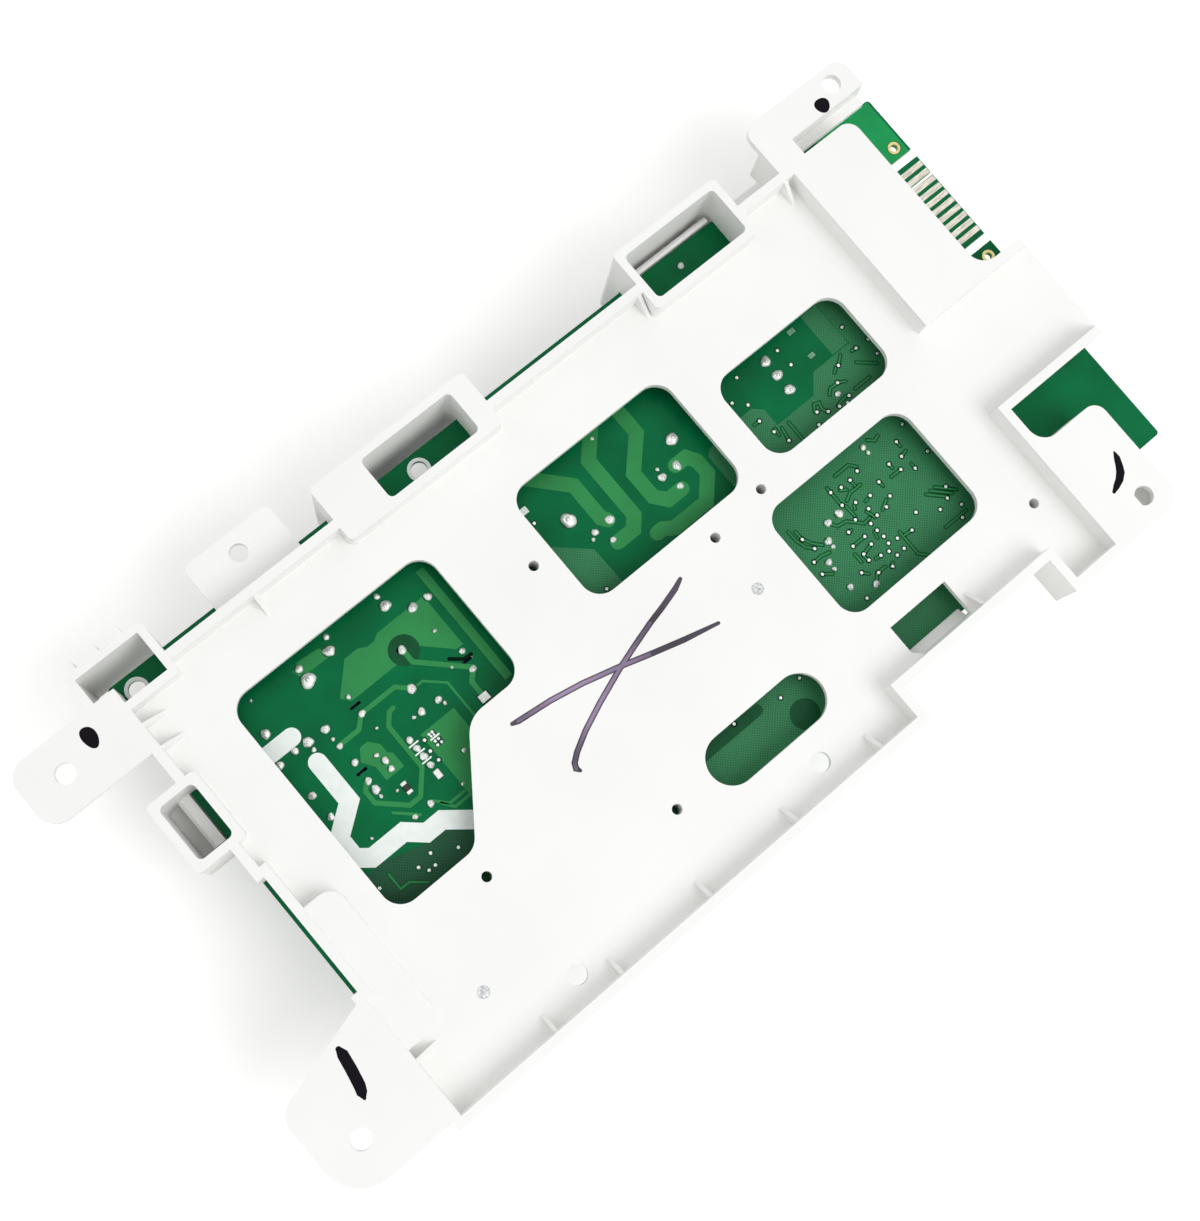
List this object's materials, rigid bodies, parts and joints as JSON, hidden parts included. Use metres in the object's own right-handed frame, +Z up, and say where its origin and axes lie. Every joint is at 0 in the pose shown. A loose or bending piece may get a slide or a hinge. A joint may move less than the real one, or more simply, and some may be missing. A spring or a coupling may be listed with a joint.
{
  "type": "washing machine control board",
  "caption": "Appliance control board clipped and screwed into a shallow moulded tray with windows, rim walls and fixing tabs, its electronic parts hanging below the board.",
  "frame": {"origin": "under the middle of the whole outline, on the surface the assembly stands on", "axes": "+X along the board towards its card edge, +Y across the board towards the clip pockets, +Z up, from the parts through the board to the tray's back"},
  "size_m": [0.2758, 0.1406, 0.0435],
  "materials": {
    "tray_plastic": "smooth",
    "board_laminate": "solder mask over glass-fibre laminate",
    "solder": "bright solder",
    "contact_tin": "hot-air levelled tin",
    "zinc_steel": "zinc plated",
    "sink_aluminium": "extruded",
    "ferrite": "ground ferrite",
    "coil_copper": "enamelled copper wire",
    "moulded_black": "moulded epoxy",
    "can_sleeve": "shrunk sleeve",
    "film_case": "yellow case",
    "disc_blue": "lacquered",
    "disc_green": "lacquered",
    "nylon_natural": "moulded nylon",
    "relay_case": "moulded case",
    "fuse_glass": "clear glass",
    "bobbin_plastic": "moulded phenolic"
  },
  "bodies": {
    "root": {"board_screws": "zinc_steel", "bridge_rectifier": "moulded_black", "bulk_capacitor_1": "can_sleeve", "bulk_capacitor_2": "can_sleeve", "choke_base": "bobbin_plastic", "choke_core": "ferrite", "choke_winding": "coil_copper", "circuit_board": "board_laminate", "crystal": "zinc_steel", "driver_ic": "moulded_black", "drum_inductor": "ferrite", "edge_contacts": "contact_tin", "film_capacitor": "film_case", "film_capacitor_small": "film_case", "fuse": "fuse_glass", "fuse_clips": "contact_tin", "header_pins": "contact_tin", "heat_sink": "sink_aluminium", "heat_sink_screws": "zinc_steel", "mains_header": "nylon_natural", "microcontroller": "moulded_black", "motor_header": "nylon_natural", "optocoupler_1": "moulded_black", "optocoupler_2": "moulded_black", "psu_controller": "moulded_black", "pump_header": "nylon_natural", "relay_1": "relay_case", "relay_2": "relay_case", "relay_3": "relay_case", "sensor_header": "nylon_natural", "small_capacitor_1": "can_sleeve", "small_capacitor_2": "can_sleeve", "small_capacitor_3": "can_sleeve", "small_capacitor_4": "can_sleeve", "smoothing_capacitor_1": "can_sleeve", "smoothing_capacitor_2": "can_sleeve", "solder_joints": "solder", "thermistor": "disc_green", "transformer_bobbin": "bobbin_plastic", "transformer_core": "ferrite", "transformer_winding": "coil_copper", "tray": "tray_plastic", "triac_1": "moulded_black", "triac_2": "moulded_black", "valve_header": "nylon_natural", "varistor": "disc_blue", "voltage_regulator": "moulded_black", "y_capacitor_1": "disc_blue", "y_capacitor_2": "disc_blue"}
  },
  "joints": []
}
